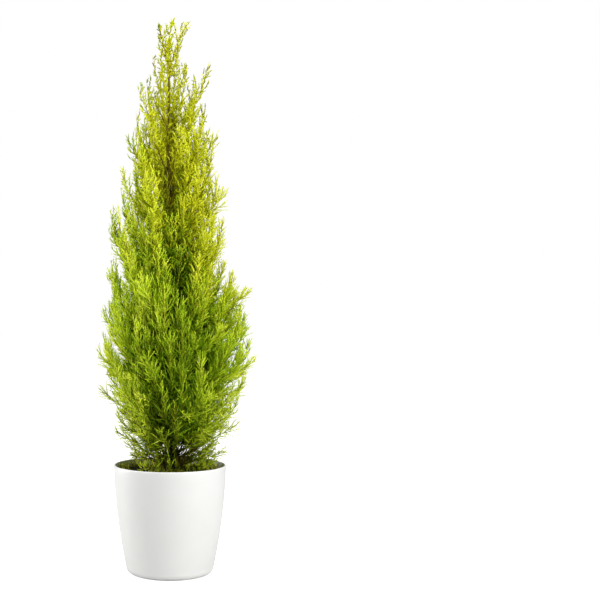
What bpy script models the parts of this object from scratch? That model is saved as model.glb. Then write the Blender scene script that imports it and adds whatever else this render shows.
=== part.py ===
"""Potted golden cypress: a white pot of soil, a trunk, its boughs and masses of foliage.

The plant is a slim, loose cone. Plumes leave the trunk in tiers and bend upwards. A plume of the
middle tiers starts as a bare bough, the others start at the trunk itself. Each plume's foliage is
one mass: a stem with sprays of needles, which keeps to the space nearest to its own stem.

Units are metres, +Z is up, +X is to the right, and the front faces -Y.
"""
import math
import random
from collections import namedtuple

import bmesh
import bpy
from mathutils import Quaternion, Vector

GAP = 0.0003  # clearance between neighbouring solids

# Pot
POT_HEIGHT = 0.1735
RIM_RADIUS = 0.0906
SIDE_TAPER = 0.026  # slope of the side at the rim
SIDE_BOW = 0.585  # the side turns in with the square of the depth under the rim
FOOT_RADIUS = 0.0595
CORNER_HEIGHT = 0.011
POT_WALL = 0.0028
POT_SEGMENTS = 36

# Soil
SOIL_TOP = 0.1615
SOIL_MOUND = 0.002  # rise at the middle, with a level seat for the trunk
TRUNK_SEAT = 0.012

# Trunk
TRUNK_FOOT = SOIL_TOP + SOIL_MOUND + GAP
TRUNK_TOP = 0.800
TRUNK_FOOT_OFFSET = 0.004
TRUNK_TOP_OFFSET = -0.0016
TRUNK_SWAY = 0.0019
TRUNK_FOOT_RADIUS = 0.0062
TRUNK_TOP_RADIUS = 0.0016
FLARE_RADIUS = 0.0045
FLARE_HEIGHT = 0.012
TRUNK_RINGS = 22
TRUNK_SIDES = 10

# Leader: the foliage on top of the trunk
LEADER_TIP = Vector((0.0064, 0.0, 0.893))
LEADER_BOW = Vector((-0.0080, 0.0, 0.850))
LEADER_SPREAD = 0.022
CROWN_TOP = 0.895

# Tiers of plumes, from the bottom up: height of the feet on the trunk, height of the tips and
# reach from the axis on the left and right sides, directions in degrees from +X, counted
# anticlockwise from above, and whether a bare bough carries each mass.
Tier = namedtuple("Tier", "foot tip_left tip_right reach_left reach_right directions bough")
TIERS = (
    Tier(0.174, 0.209, 0.194, 0.079, 0.092, (8, 168), False),
    Tier(0.194, 0.232, 0.243, 0.093, 0.112, (-15, 78, 190, 262), False),
    Tier(0.228, 0.297, 0.300, 0.120, 0.124, (16, 112, 170, 300), False),
    Tier(0.272, 0.362, 0.344, 0.122, 0.139, (-14, 62, 194, 252), True),
    Tier(0.328, 0.422, 0.392, 0.114, 0.131, (13, 172, 312), True),
    Tier(0.385, 0.484, 0.453, 0.104, 0.129, (-10, 97, 190, 246), True),
    Tier(0.455, 0.556, 0.535, 0.105, 0.090, (14, 166, 310), True),
    Tier(0.528, 0.646, 0.612, 0.082, 0.092, (-16, 75, 194, 242), True),
    Tier(0.612, 0.708, 0.706, 0.073, 0.077, (12, 174, 285), False),
    Tier(0.690, 0.782, 0.812, 0.053, 0.063, (-6, 118, 190), False),
    Tier(0.738, 0.832, 0.820, 0.030, 0.028, (20, 200), False),
    Tier(0.788, 0.884, 0.883, 0.021, 0.031, (-24, 156), False),
)

# Plume: a curve from the trunk's axis to the tip, drawn towards one bend point
BEND_OUT = 0.62  # part of the reach at the bend point
BEND_UP = 0.36  # part of the rise at the bend point
PLUME_RINGS = 9
BOUGH_SHARE = 0.28  # part of the plume that is bare bough
BOUGH_RINGS = 5
BOUGH_SIDES = 6
BOUGH_SLENDER = 0.017  # radius at the foot for each metre of length
BOUGH_TAPER = 0.62
STEM_SIDES = 3
STEM_SLENDER = 0.011
STEM_TIP_RADIUS = 0.0005

# Spray: a flat blade with two teeth on each side
SPRAY_PITCH = 0.0180  # distance along the stem from one spray to the next
SPRAY_LONG = 0.070  # length by the foot of a long stem
SPRAY_SHARE = 0.55  # the same on a short stem, as a part of the stem's length
SPRAY_LAST = 0.030  # length of the spray at the stem's tip
SPRAY_WIDTH = 0.50  # part of its length
SPRAY_THICK = 0.0010
SPREAD_FOOT = 56.0  # degrees between the first spray and its stem
SPREAD_TIP = 28.0  # the same for the last one
SPRAY_LIFT = 0.15  # how far a spray turns upwards
SPRAY_TRIES = (1.0, 0.78, 0.6)  # lengths tried before a spray is skipped
GOLDEN_ANGLE = math.radians(137.5)
ROOT_DEPTH = 0.0012  # a spray starts this far behind its stem's axis
CELL_MARGIN = 0.0014  # how much nearer a spray stays to its own stem than to another
LIMB_MARGIN = 0.0020  # how far a spray stays off the limbs, the pot and the soil
NEIGHBOUR_RANGE = 0.16  # limbs and masses further away than this are not tested
TIP_MARGIN = 0.0060  # how far a spray may pass its stem's tip, outwards or upwards
SEED = 7

OUTLINE = ((0.0, 0.05), (0.44, 0.50), (0.42, 0.17), (0.77, 0.33))  # one side, without the tip

WHITE_PLASTIC = (0.86, 0.86, 0.85, 1.0)
SOIL_BROWN = (0.035, 0.025, 0.018, 1.0)
BARK_BROWN = (0.085, 0.055, 0.035, 1.0)
DEEP_GREEN = Vector((0.16, 0.30, 0.025))
LEMON_YELLOW = Vector((0.56, 0.60, 0.045))

Mass = namedtuple("Mass", "name path stem_radius level")


def clear_scene():
    for scene_object in list(bpy.data.objects):
        bpy.data.objects.remove(scene_object)


def material(name, colour, roughness):
    made = bpy.data.materials.new(name)
    made.use_nodes = True
    shader = made.node_tree.nodes["Principled BSDF"]
    shader.inputs["Base Color"].default_value = colour
    shader.inputs["Roughness"].default_value = roughness
    shader.inputs["Metallic"].default_value = 0.0
    return made


def add_object(name, mesh, colour, roughness):
    made = bpy.data.objects.new(name, mesh)
    bpy.context.scene.collection.objects.link(made)
    mesh.materials.append(material(name, colour, roughness))
    return made


def mesh_from(name, points, faces):
    """A closed mesh with its faces turned outwards."""
    mesh = bpy.data.meshes.new(name)
    mesh.from_pydata([tuple(point) for point in points], [], faces)
    build = bmesh.new()
    build.from_mesh(mesh)
    bmesh.ops.recalc_face_normals(build, faces=build.faces)
    build.to_mesh(mesh)
    build.free()
    return mesh


# --- Turned pieces -------------------------------------------------------------------------


def turned(name, profile, segments):
    """Turn a profile of (radius, height) pairs, which starts and ends on the axis."""
    points = [Vector((0.0, 0.0, profile[0][1]))]
    faces = []
    inner = profile[1:-1]
    for radius, height in inner:
        for step in range(segments):
            angle = 2.0 * math.pi * step / segments
            points.append(Vector((radius * math.cos(angle), radius * math.sin(angle), height)))
    points.append(Vector((0.0, 0.0, profile[-1][1])))
    last = len(points) - 1
    for step in range(segments):
        after = (step + 1) % segments
        faces.append((0, 1 + after, 1 + step))
        top_ring = 1 + (len(inner) - 1) * segments
        faces.append((last, top_ring + step, top_ring + after))
        for ring in range(len(inner) - 1):
            low = 1 + ring * segments
            high = low + segments
            faces.append((low + step, low + after, high + after, high + step))
    return mesh_from(name, points, faces)


def side_radius(height):
    depth = POT_HEIGHT - height
    return RIM_RADIUS - SIDE_TAPER * depth - SIDE_BOW * depth * depth


def inner_heights():
    """Heights of the inner wall's rings, from the floor to just under the soil's surface."""
    low = 2.0 * CORNER_HEIGHT
    return [low + (SOIL_TOP - low) * step / 3 for step in range(4)]


def make_pot():
    profile = [(0.0, 0.0)]
    corner_out = side_radius(CORNER_HEIGHT) - FOOT_RADIUS
    for step in range(4):
        angle = 0.5 * math.pi * step / 3
        radius = FOOT_RADIUS + corner_out * math.sin(angle)
        profile.append((radius, CORNER_HEIGHT * (1.0 - math.cos(angle))))
    lip = 0.5 * POT_WALL
    lip_height = POT_HEIGHT - lip
    for step in range(1, 6):
        height = CORNER_HEIGHT + (lip_height - CORNER_HEIGHT) * step / 5
        profile.append((side_radius(height), height))
    for angle in (45.0, 90.0, 135.0):
        turn = math.radians(angle)
        middle = side_radius(lip_height) - lip
        profile.append((middle + lip * math.cos(turn), lip_height + lip * math.sin(turn)))
    profile.append((side_radius(lip_height) - POT_WALL, lip_height))
    for height in reversed(inner_heights()):
        profile.append((side_radius(height) - POT_WALL, height))
    profile.append((FOOT_RADIUS, POT_WALL))
    profile.append((0.0, POT_WALL))
    add_object("pot", turned("pot", profile, POT_SEGMENTS), WHITE_PLASTIC, 0.35)


def make_soil():
    floor = POT_WALL + GAP
    profile = [(0.0, floor), (FOOT_RADIUS - 3.0 * GAP, floor)]
    for height in inner_heights():
        profile.append((side_radius(height) - POT_WALL - 1.5 * GAP, height))
    profile.append((0.55 * RIM_RADIUS, SOIL_TOP + 0.4 * SOIL_MOUND))
    profile.append((TRUNK_FOOT_OFFSET + TRUNK_SEAT, SOIL_TOP + SOIL_MOUND))
    profile.append((0.0, SOIL_TOP + SOIL_MOUND))
    add_object("soil", turned("soil", profile, POT_SEGMENTS), SOIL_BROWN, 0.95)


# --- Limbs ---------------------------------------------------------------------------------


def tube(name, points, radii, sides):
    """A closed tube round a smooth path, with flat ends."""
    rings = []
    tangent = (points[1] - points[0]).normalized()
    side = tangent.orthogonal().normalized()
    for index, point in enumerate(points):
        before = points[max(index - 1, 0)]
        after = points[min(index + 1, len(points) - 1)]
        turned_tangent = (after - before).normalized()
        side = tangent.rotation_difference(turned_tangent) @ side
        tangent = turned_tangent
        up = tangent.cross(side)
        ring = []
        for step in range(sides):
            angle = 2.0 * math.pi * step / sides
            ring.append(point + radii[index] * (math.cos(angle) * side + math.sin(angle) * up))
        rings.append(ring)
    vertices = [vertex for ring in rings for vertex in ring]
    faces = [tuple(reversed(range(sides)))]
    for ring in range(len(rings) - 1):
        low = ring * sides
        for step in range(sides):
            after = (step + 1) % sides
            faces.append((low + step, low + after, low + sides + after, low + sides + step))
    top = (len(rings) - 1) * sides
    faces.append(tuple(range(top, top + sides)))
    return mesh_from(name, vertices, faces)


def trunk_centre(height):
    share = (height - TRUNK_FOOT) / (TRUNK_TOP - TRUNK_FOOT)
    lean = TRUNK_FOOT_OFFSET + (TRUNK_TOP_OFFSET - TRUNK_FOOT_OFFSET) * share
    sway = TRUNK_SWAY * math.sin(math.pi * share)
    return Vector((lean - sway, 0.6 * sway, height))


def trunk_radius(height):
    share = (height - TRUNK_FOOT) / (TRUNK_TOP - TRUNK_FOOT)
    taper = TRUNK_FOOT_RADIUS + (TRUNK_TOP_RADIUS - TRUNK_FOOT_RADIUS) * share
    return taper + FLARE_RADIUS * math.exp((TRUNK_FOOT - height) / FLARE_HEIGHT)


def trunk_mesh(grow):
    """The trunk's tube, grown outwards, with rings that lie closer together near the foot."""
    points = []
    radii = []
    for ring in range(TRUNK_RINGS + 1):
        share = (ring / TRUNK_RINGS) ** 1.5
        height = TRUNK_FOOT + (TRUNK_TOP - TRUNK_FOOT) * share
        points.append(trunk_centre(height))
        radii.append(trunk_radius(height) + grow)
    points[0].z -= grow
    points[-1].z += grow
    return tube("trunk", points, radii, TRUNK_SIDES)


def make_trunk():
    mesh = trunk_mesh(0.0)
    foot = sorted(mesh.vertices, key=lambda vertex: vertex.co.z)[:TRUNK_SIDES]
    for vertex in foot:
        vertex.co.z = TRUNK_FOOT
    add_object("trunk", mesh, BARK_BROWN, 0.85)


def make_trunk_cutter():
    """The trunk with its clearance round it, which cuts the feet of boughs and stems."""
    cutter = bpy.data.objects.new("trunk_cutter", trunk_mesh(GAP))
    cutter.hide_render = True
    cutter.display_type = "WIRE"
    bpy.context.scene.collection.objects.link(cutter)
    return cutter


def plume_path(foot, bend, tip, start, end, rings):
    """Points on the curve from foot to tip, between the shares start and end of it."""
    points = []
    for ring in range(rings):
        share = start + (end - start) * ring / (rings - 1)
        rest = 1.0 - share
        points.append(rest * rest * foot + 2.0 * rest * share * bend + share * share * tip)
    return points


def plume_curve(tier, direction, rng):
    """Foot, bend point and tip of one plume."""
    angle = math.radians(direction)
    outward = Vector((math.cos(angle), math.sin(angle), 0.0))
    right_share = 0.5 * (1.0 + math.cos(angle))
    reach = tier.reach_left + (tier.reach_right - tier.reach_left) * right_share
    tip_height = tier.tip_left + (tier.tip_right - tier.tip_left) * right_share
    foot_height = tier.foot + 0.004 * rng.uniform(-1.0, 1.0)
    foot = trunk_centre(foot_height)
    tip = outward * reach + Vector((0.0, 0.0, tip_height))
    level = outward * reach * BEND_OUT
    bend = level + Vector((foot.x, 0.0, foot_height + BEND_UP * (tip_height - foot_height)))
    return foot, bend, tip


def path_length(points):
    return sum((after - before).length for before, after in zip(points, points[1:]))


def modifier_result(target, modifier):
    """Apply the target's one modifier and take it off again."""
    depsgraph = bpy.context.evaluated_depsgraph_get()
    depsgraph.update()
    result = bpy.data.meshes.new_from_object(target.evaluated_get(depsgraph))
    target.modifiers.remove(modifier)
    target.data = result


def cut_clear(target, cutter):
    """Cut away what the target has inside the cutter."""
    cut = target.modifiers.new("clear", "BOOLEAN")
    cut.operation = "DIFFERENCE"
    cut.solver = "EXACT"
    cut.object = cutter
    modifier_result(target, cut)


def join_pieces(target, pieces):
    """Join loose pieces to the target by one Boolean union on their collection."""
    collection = bpy.data.collections.new("pieces")
    for piece in pieces:
        collection.objects.link(piece)
    join = target.modifiers.new("join", "BOOLEAN")
    join.operation = "UNION"
    join.solver = "EXACT"
    join.operand_type = "COLLECTION"
    join.collection = collection
    modifier_result(target, join)
    for piece in pieces:
        bpy.data.objects.remove(piece)
    bpy.data.collections.remove(collection)


# --- Sprays --------------------------------------------------------------------------------


def blade_points(root, along, across, length):
    """Vertices of a toothed blade, first one face and then the other."""
    width = SPRAY_WIDTH * length
    normal = along.cross(across).normalized() * 0.5 * SPRAY_THICK
    outline = [(share, side * width) for share, side in OUTLINE]
    outline.append((1.0, 0.0))
    outline.extend((share, -side * width) for share, side in reversed(OUTLINE))
    flat = [root + along * share * length + across * offset for share, offset in outline]
    return [point + normal for point in flat] + [point - normal for point in flat]


def blade_faces():
    count = 2 * len(OUTLINE) + 1
    faces = [tuple(range(count)), tuple(reversed(range(count, 2 * count)))]
    for step in range(count):
        after = (step + 1) % count
        faces.append((after, step, step + count, after + count))
    return faces


def spray_places(path, rng):
    """Where the sprays stand on a stem: root, direction, width direction and length."""
    total = path_length(path)
    longest = min(SPRAY_LONG, SPRAY_SHARE * total)
    count = max(3, int(total / SPRAY_PITCH))
    places = []
    for index in range(count):
        share = (index + 0.35) / count
        position = share * (len(path) - 1)
        ring = min(int(position), len(path) - 2)
        root = path[ring].lerp(path[ring + 1], position - ring)
        tangent = (path[ring + 1] - path[ring]).normalized()
        spread = math.radians(SPREAD_FOOT + (SPREAD_TIP - SPREAD_FOOT) * share)
        spread *= rng.uniform(0.8, 1.15)
        around = Quaternion(tangent, index * GOLDEN_ANGLE + rng.uniform(-0.4, 0.4))
        side = around @ tangent.orthogonal().normalized()
        along = tangent * math.cos(spread) + side * math.sin(spread)
        along = (along + Vector((0.0, 0.0, SPRAY_LIFT))).normalized()
        across = along.cross(side).normalized()
        room = total * (1.0 - share) + 0.25 * SPRAY_LAST
        length = min(longest * rng.uniform(0.85, 1.1), room / math.cos(spread))
        places.append((root - along * ROOT_DEPTH, along, across, length))
    tangent = (path[-1] - path[-2]).normalized()
    across = tangent.orthogonal().normalized()
    last = min(SPRAY_LAST, 0.4 * total)
    places.append((path[-1] - tangent * 0.96 * last, tangent, across, last))
    return places


def distance_to_path(point, path):
    nearest = 1.0
    for before, after in zip(path, path[1:]):
        step = after - before
        share = max(0.0, min(1.0, (point - before).dot(step) / step.length_squared))
        nearest = min(nearest, (point - before - share * step).length)
    return nearest


def keeps_to_space(points, own, masses, limbs):
    """True where all points lie in their mass's space, and off limbs, pot and soil."""
    tip = own.path[-1]
    reach = math.hypot(tip.x, tip.y) + TIP_MARGIN
    for point in points:
        if math.hypot(point.x, point.y) > max(reach, LEADER_SPREAD):
            return False
        if point.z > min(tip.z + 3.0 * TIP_MARGIN, CROWN_TOP):
            return False
        rim_distance = abs(math.hypot(point.x, point.y) - RIM_RADIUS)
        floor = POT_HEIGHT if rim_distance < 0.008 else SOIL_TOP + SOIL_MOUND
        if point.z < floor + LIMB_MARGIN:
            return False
        own_distance = distance_to_path(point, own.path)
        for other in masses:
            if other is own or (point - other.path[4]).length > NEIGHBOUR_RANGE:
                continue
            if distance_to_path(point, other.path) < own_distance + CELL_MARGIN:
                return False
        for path, radius in limbs:
            if distance_to_path(point, path) < radius + LIMB_MARGIN:
                return False
    return True


def make_mass(mass, masses, limbs, trunk_cutter, rng):
    path = mass.path
    last = len(path) - 1
    radii = [mass.stem_radius + (STEM_TIP_RADIUS - mass.stem_radius) * ring / last
             for ring in range(len(path))]
    blend = DEEP_GREEN.lerp(LEMON_YELLOW, mass.level)
    stem = add_object(mass.name, tube(mass.name, path, radii, STEM_SIDES), (*blend, 1.0), 0.6)
    cut_clear(stem, trunk_cutter)
    own_limbs = [limb for limb in limbs if (limb[0][0] - path[0]).length < NEIGHBOUR_RANGE]
    sprays = []
    for root, along, across, length in spray_places(path, rng):
        for scale in SPRAY_TRIES:
            points = blade_points(root, along, across, length * scale)
            if keeps_to_space(points, mass, masses, own_limbs):
                mesh = mesh_from("spray", points, blade_faces())
                sprays.append(bpy.data.objects.new("spray", mesh))
                break
    join_pieces(stem, sprays)


# --- The plant -----------------------------------------------------------------------------


def plan_plumes(rng):
    """The boughs' paths with their radii, and the masses with their stems."""
    boughs = []
    masses = []
    for tier in TIERS:
        for direction in tier.directions:
            number = len(masses) + 1
            foot, bend, tip = plume_curve(tier, direction, rng)
            length = path_length(plume_path(foot, bend, tip, 0.0, 1.0, PLUME_RINGS))
            start = 0.0
            stem_radius = STEM_SLENDER * length
            if tier.bough:
                start = BOUGH_SHARE + GAP / length
                thick = BOUGH_SLENDER * length
                path = plume_path(foot, bend, tip, 0.0, BOUGH_SHARE, BOUGH_RINGS)
                radii = [thick * (1.0 - (1.0 - BOUGH_TAPER) * ring / (BOUGH_RINGS - 1))
                         for ring in range(BOUGH_RINGS)]
                boughs.append((f"bough_{number:02d}", path, radii))
            path = plume_path(foot, bend, tip, start, 1.0, PLUME_RINGS)
            level = (tip.z - SOIL_TOP) / (LEADER_TIP.z - SOIL_TOP)
            masses.append(Mass(f"foliage_{number:02d}", path, stem_radius, level))
    top = trunk_centre(TRUNK_TOP) + Vector((0.0, 0.0, GAP))
    path = plume_path(top, LEADER_BOW, LEADER_TIP, 0.0, 1.0, PLUME_RINGS)
    masses.append(Mass("foliage_leader", path, TRUNK_TOP_RADIUS, 1.0))
    return boughs, masses


def trunk_limbs():
    """The trunk as short paths, each with its widest radius."""
    count = 12
    heights = [TRUNK_FOOT + (TRUNK_TOP - TRUNK_FOOT) * step / count for step in range(count + 1)]
    return [([trunk_centre(low), trunk_centre(high)], trunk_radius(low))
            for low, high in zip(heights, heights[1:])]


def main():
    clear_scene()
    rng = random.Random(SEED)
    make_pot()
    make_soil()
    make_trunk()
    cutter = make_trunk_cutter()
    boughs, masses = plan_plumes(rng)
    limbs = trunk_limbs()
    for name, path, radii in boughs:
        bough = add_object(name, tube(name, path, radii, BOUGH_SIDES), BARK_BROWN, 0.85)
        cut_clear(bough, cutter)
        limbs.append((path, radii[0]))
    for mass in masses:
        make_mass(mass, masses, limbs, cutter, rng)


main()
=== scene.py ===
"""Looks of the potted golden cypress: pot, soil, bark, twigs and needle foliage."""
import math
import random
from collections import namedtuple

import bmesh
import bpy
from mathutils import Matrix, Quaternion, Vector, noise


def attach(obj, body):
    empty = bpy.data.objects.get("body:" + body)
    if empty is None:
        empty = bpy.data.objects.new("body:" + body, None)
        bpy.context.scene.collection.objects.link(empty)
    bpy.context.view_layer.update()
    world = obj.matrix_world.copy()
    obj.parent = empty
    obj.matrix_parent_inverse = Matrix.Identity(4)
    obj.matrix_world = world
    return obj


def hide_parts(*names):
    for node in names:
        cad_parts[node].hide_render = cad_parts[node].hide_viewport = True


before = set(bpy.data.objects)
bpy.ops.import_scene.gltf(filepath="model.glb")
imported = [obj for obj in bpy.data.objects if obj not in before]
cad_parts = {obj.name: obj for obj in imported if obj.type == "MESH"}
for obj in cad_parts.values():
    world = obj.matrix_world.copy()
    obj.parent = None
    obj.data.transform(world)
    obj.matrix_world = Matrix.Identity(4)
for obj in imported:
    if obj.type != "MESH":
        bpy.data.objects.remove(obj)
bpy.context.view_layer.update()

MM = 0.001
UP = Vector((0.0, 0.0, 1.0))
GOLDEN_ANGLE = math.radians(137.5)
SEED = 7


def in_metres(*rows):
    """Rows of lengths in millimetres that end in one other value, with the lengths in metres."""
    return tuple((*(length / 1000 for length in lengths), last) for *lengths, last in rows)


# --- Sizes of the pot, the soil and the limbs, as they are built in the solids ---

POT_HEIGHT = 0.1735
RIM_RADIUS = 0.0906
SIDE_TAPER = 0.026  # slope of the side at the rim
SIDE_BOW = 0.585  # the side turns in with the square of the depth under the rim
FOOT_RADIUS = 0.0595
CORNER_HEIGHT = 0.011
POT_WALL = 0.0028
SOIL_TOP = 0.1615
SOIL_MOUND = 0.002

TRUNK_FOOT = SOIL_TOP + SOIL_MOUND
TRUNK_TOP = 0.800
TRUNK_FOOT_OFFSET = 0.004
TRUNK_TOP_OFFSET = -0.0016
TRUNK_SWAY = 0.0019
TRUNK_FOOT_RADIUS = 0.0062
TRUNK_TOP_RADIUS = 0.0016
FLARE_RADIUS = 0.0045
FLARE_HEIGHT = 0.012
LEADER_TIP = Vector((0.0064, 0.0, 0.893))
LEADER_BOW = Vector((-0.0080, 0.0, 0.850))
PLANT_HEIGHT = LEADER_TIP.z - SOIL_TOP

BEND_OUT = 0.62  # where a plume bends, as parts of its reach and of its rise
BEND_UP = 0.36
BOUGH_SHARE = 0.33  # part of a plume's length that its bare bough covers
BOUGH_SLENDER = 0.017  # radius at the foot, as a part of the plume's length
STEM_SLENDER = 0.011
SPREAD = (56.0, 28.0)  # degrees between a plume and its sprays, at its foot and its tip

# Rows of tiers: height of the feet on the trunk, height of the tips on the left and the right,
# reach from the axis on the left and the right, in millimetres, and directions in degrees
# from +X. A bare bough carries each plume of the middle tiers.
Tier = namedtuple("Tier", "foot tip_left tip_right reach_left reach_right directions bough",
                  defaults=(False,))


def tiers(*rows, bough=False):
    return tuple(Tier(*row, bough) for row in in_metres(*rows))


TIERS = tiers(
    (174, 209, 194, 79, 92, (8, 168)),
    (194, 232, 243, 93, 112, (-15, 78, 190, 262)),
    (228, 297, 300, 120, 124, (16, 112, 170, 300)),
) + tiers(
    (272, 362, 344, 122, 139, (-14, 62, 194, 252)),
    (328, 422, 392, 114, 131, (13, 172, 312)),
    (385, 484, 453, 104, 129, (-10, 97, 190, 246)),
    (455, 556, 535, 105, 90, (14, 166, 310)),
    (528, 646, 612, 82, 92, (-16, 75, 194, 242)),
    bough=True,
) + tiers(
    (612, 708, 706, 73, 77, (12, 174, 285)),
    (690, 782, 812, 53, 63, (-6, 118, 190)),
    (738, 832, 820, 30, 28, (20, 200)),
    (788, 884, 883, 21, 31, (-24, 156)),
)

# --- Finer growth ---

# Slimmer plumes that fill the crown between the tiers of the solids, by the same rule
BETWEEN = tiers(
    (220, 276, 280, 90, 110, (-8, 50, 138, 186, 232, 330)),
    (240, 333, 313, 110, 127, (14, 84, 162, 216, 300)),
    (278, 388, 372, 110, 128, (-6, 38, 140, 184, 236, 282, 322)),
    (318, 434, 411, 106, 122, (6, 74, 164, 212, 264, 336)),
    (350, 460, 450, 98, 108, (28, 108, 154, 198, 234, 306, 350)),
    (380, 503, 480, 96, 104, (-14, 48, 134, 186, 224, 256, 302)),
    (420, 545, 530, 88, 88, (32, 84, 150, 202, 238, 314)),
    (440, 585, 566, 98, 86, (4, 108, 174, 210, 250, 326)),
    (500, 620, 636, 80, 77, (-4, 52, 100, 142, 186, 246, 312)),
    (545, 676, 680, 70, 70, (24, 96, 150, 222, 302, 345)),
    (590, 715, 722, 60, 62, (42, 104, 200, 326)),
    (625, 740, 751, 55, 57, (4, 66, 140, 186, 228, 316)),
    (655, 770, 775, 44, 50, (32, 128, 218, 326)),
    (690, 797, 799, 38, 41, (14, 80, 175, 252)),
    (715, 813, 813, 22, 29, (-24, 100, 222)),
    (760, 843, 824, 16, 18, (45, 205)),
    (795, 862, 852, 11, 14, (95, 250, 345)),
)
# Short plumes in front of the trunk
FRONT = tiers(
    (270, 395, 380, 94, 96, (246, 270, 294)),
    (310, 440, 425, 84, 86, (234, 258, 284, 308)),
    (350, 485, 470, 72, 74, (244, 270, 298)),
    (390, 525, 510, 62, 64, (230, 256, 284, 310)),
    (430, 565, 550, 52, 54, (242, 266, 294)),
    (480, 605, 595, 44, 46, (228, 254, 284, 312)),
    (530, 645, 640, 38, 40, (242, 264, 296)),
    (580, 690, 690, 34, 36, (222, 304)),
)
# Plumes that fill the sides of the crown
SIDES = tiers(
    (285, 370, 362, 112, 126, (-22, 22, 158, 202)),
    (318, 402, 392, 108, 122, (-26, 0, 26, 154, 206)),
    (350, 436, 424, 100, 118, (-18, 18, 162, 198)),
    (385, 470, 455, 95, 106, (-24, 4, 28, 180)),
)
# Fringes that arch out over the pot, nearly level at their tips
FRINGES = tiers(
    (208, 232, 236, 82, 94, (-24, 2, 30, 150, 178, 204, 232, 306)),
    (236, 258, 262, 86, 98, (-34, -10, 16, 164, 190, 218, 288)),
    (262, 288, 292, 96, 110, (-22, 4, 28, 152, 176, 204, 240, 312)),
    (290, 320, 320, 106, 122, (-30, -8, 14, 164, 192, 226)),
)
# Thin half-bare stems that rise from the foot of the trunk
BASAL = tiers(
    (171, 200, 200, 24, 30, (-35, 60, 110, 180, 205, 240, 282, 318)),
    (172, 207, 206, 40, 54, (-30, 28, 150, 168, 187, 205, 232, 262, 322)),
    (176, 226, 222, 50, 66, (8, 62, 118, 160, 184, 203, 222, 246, 300, 342)),
    (182, 246, 240, 62, 84, (38, 98, 148, 200, 238, 278, 322)),
    (190, 262, 256, 78, 100, (5, 58, 128, 174, 215, 312)),
    (196, 288, 282, 46, 50, (72, 168, 252, 292)),
)
# Fine half-bare plumes that fan out low at the sides of the foot
FAN = tiers(
    (172, 198, 196, 62, 70, (-30, -12, 6, 24, 196)),
    (175, 215, 211, 68, 76, (-22, -3, 15, 34, 172, 188)),
    (179, 232, 228, 62, 70, (-34, -13, 9, 27, 180)),
)
# Sprays that creep over the soil
CREEPING = tiers(
    (168.5, 178, 178, 66, 74, (-38, -26, -14, -2, 10, 22, 60, 78, 96)),
    (169, 185, 182, 78, 76, (108, 119, 130, 141, 152)),
)


def tiers_behind(count, foot, rise, tip, climb, reach, directions):
    """Evenly spaced tiers, each narrower than the one below it, with directions by turns."""
    narrowing = 0.005
    return tuple(Tier(foot + rise * step, tip + climb * step, tip + climb * step,
                      reach - narrowing * step, reach - narrowing * step, directions[step % 2])
                 for step in range(count))


# Plumes behind the trunk, painted darker as painted shade, and lit ones behind its upper half,
# painted a little lighter
BACK = tiers_behind(9, 0.262, 0.034, 0.372, 0.036, 0.074, ((68, 112), (77, 105)))
BACK_HIGH = tiers_behind(5, 0.520, 0.036, 0.645, 0.030, 0.040, ((55, 88, 125), (63, 88, 117)))

SPREADING = {"bend_out": 0.84, "bend_up": 0.22}
ARCHING = {"bend_out": 0.70, "bend_up": 0.85}
UPWARD = {"bend_out": 0.20, "bend_up": 0.62}
RULED = 136  # slim plumes that wind up the crown
RULED_LOW = 0.250
RULED_TOP = 0.730
CLEAR_TRUNK = 0.60  # over this height no slim plume grows straight at the front
TIP_MARGIN = 0.006  # how far shoots may stand past the tip of their plume
CEILING = 0.895  # nothing grows over this height
OPEN_LOW = 1.35  # how much wider apart twigs and shoots stand low in the crown
LOW_TIPS = 0.25  # plumes with tips under this height are half bare and sparse

# Small shoots out of the soil, and bare brown stems round the foot of the trunk
SPRIGS = 46
STEMS = 9
STEM_RING = 0.008
STEM_THICK = 0.0013
# Bare twigs that show in front of the upper foliage: height of the foot on the trunk, and the tip
BARE_TWIGS = (
    (0.620, Vector((-0.0250, -0.0400, 0.688))),
    (0.696, Vector((-0.0240, -0.0300, 0.752))),
    (0.604, Vector((0.0100, -0.0380, 0.676))),
)
BARE_TWIG_THICK = 0.0013
BARE_TWIG_CLEAR = 0.0030
# Openings right of the trunk's foot: x and height of the middle, half width and half height
SKY_GAPS = ((0.0170, 0.213, 0.0055, 0.0065), (0.0165, 0.189, 0.0055, 0.0100),
            (0.0420, 0.201, 0.0100, 0.0045))

# Moss on the soil: tufts, their length, and the middle and half sizes of the bare dark patch
MOSS_TUFTS = 1050
MOSS_LONG = 0.0075
BARE_PATCH = Vector((-0.050, 0.014, 0.0))
BARE_WIDE = 0.020
BARE_DEEP = 0.044

# Side twigs. Pairs are values low and high in the crown.
TWIG_PITCH = (0.0076, 0.0100)  # distance along a plume from one side twig to the next
TWIG_SHARE = (0.55, 0.20)  # length of a side twig at most, as a part of its plume's
TWIG_CLOSENESS = (0.54, 0.95)  # side twigs stand closer to their plume than the first boughs do
TWIG_LIFT = 0.34
TWIG_LONG = 0.029
TWIG_SHORT = 0.016
TWIG_RADIUS = 0.00080

# Shoots and their needles
SHOOT_ATTRIBUTES = {"aim": "FLOAT_VECTOR", "turn": "FLOAT", "size": "FLOAT", "girth": "FLOAT"}
SHOOT_PITCH = 0.0036  # distance along a twig from one shoot to the next
SHOOT_LONG = (0.0225, 0.0090)
SHOOT_SPREAD = (27.0, 46.0)
SHOOT_SHORT = 0.0060
SHOOT_KINDS = 5
SHOOT_NOMINAL = 0.0125
WISP_SHARE = 0.06  # of the shoots grow on past their neighbours
YOUNG_NEEDLES = (5, 0.0041, 0.00178)  # on one shoot, their length and their width
GIRTH = (1.00, 1.40)  # how far needles stand off their shoot
PIECE_SHOOTS = 5800  # shoots in one joined mesh at most

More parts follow.
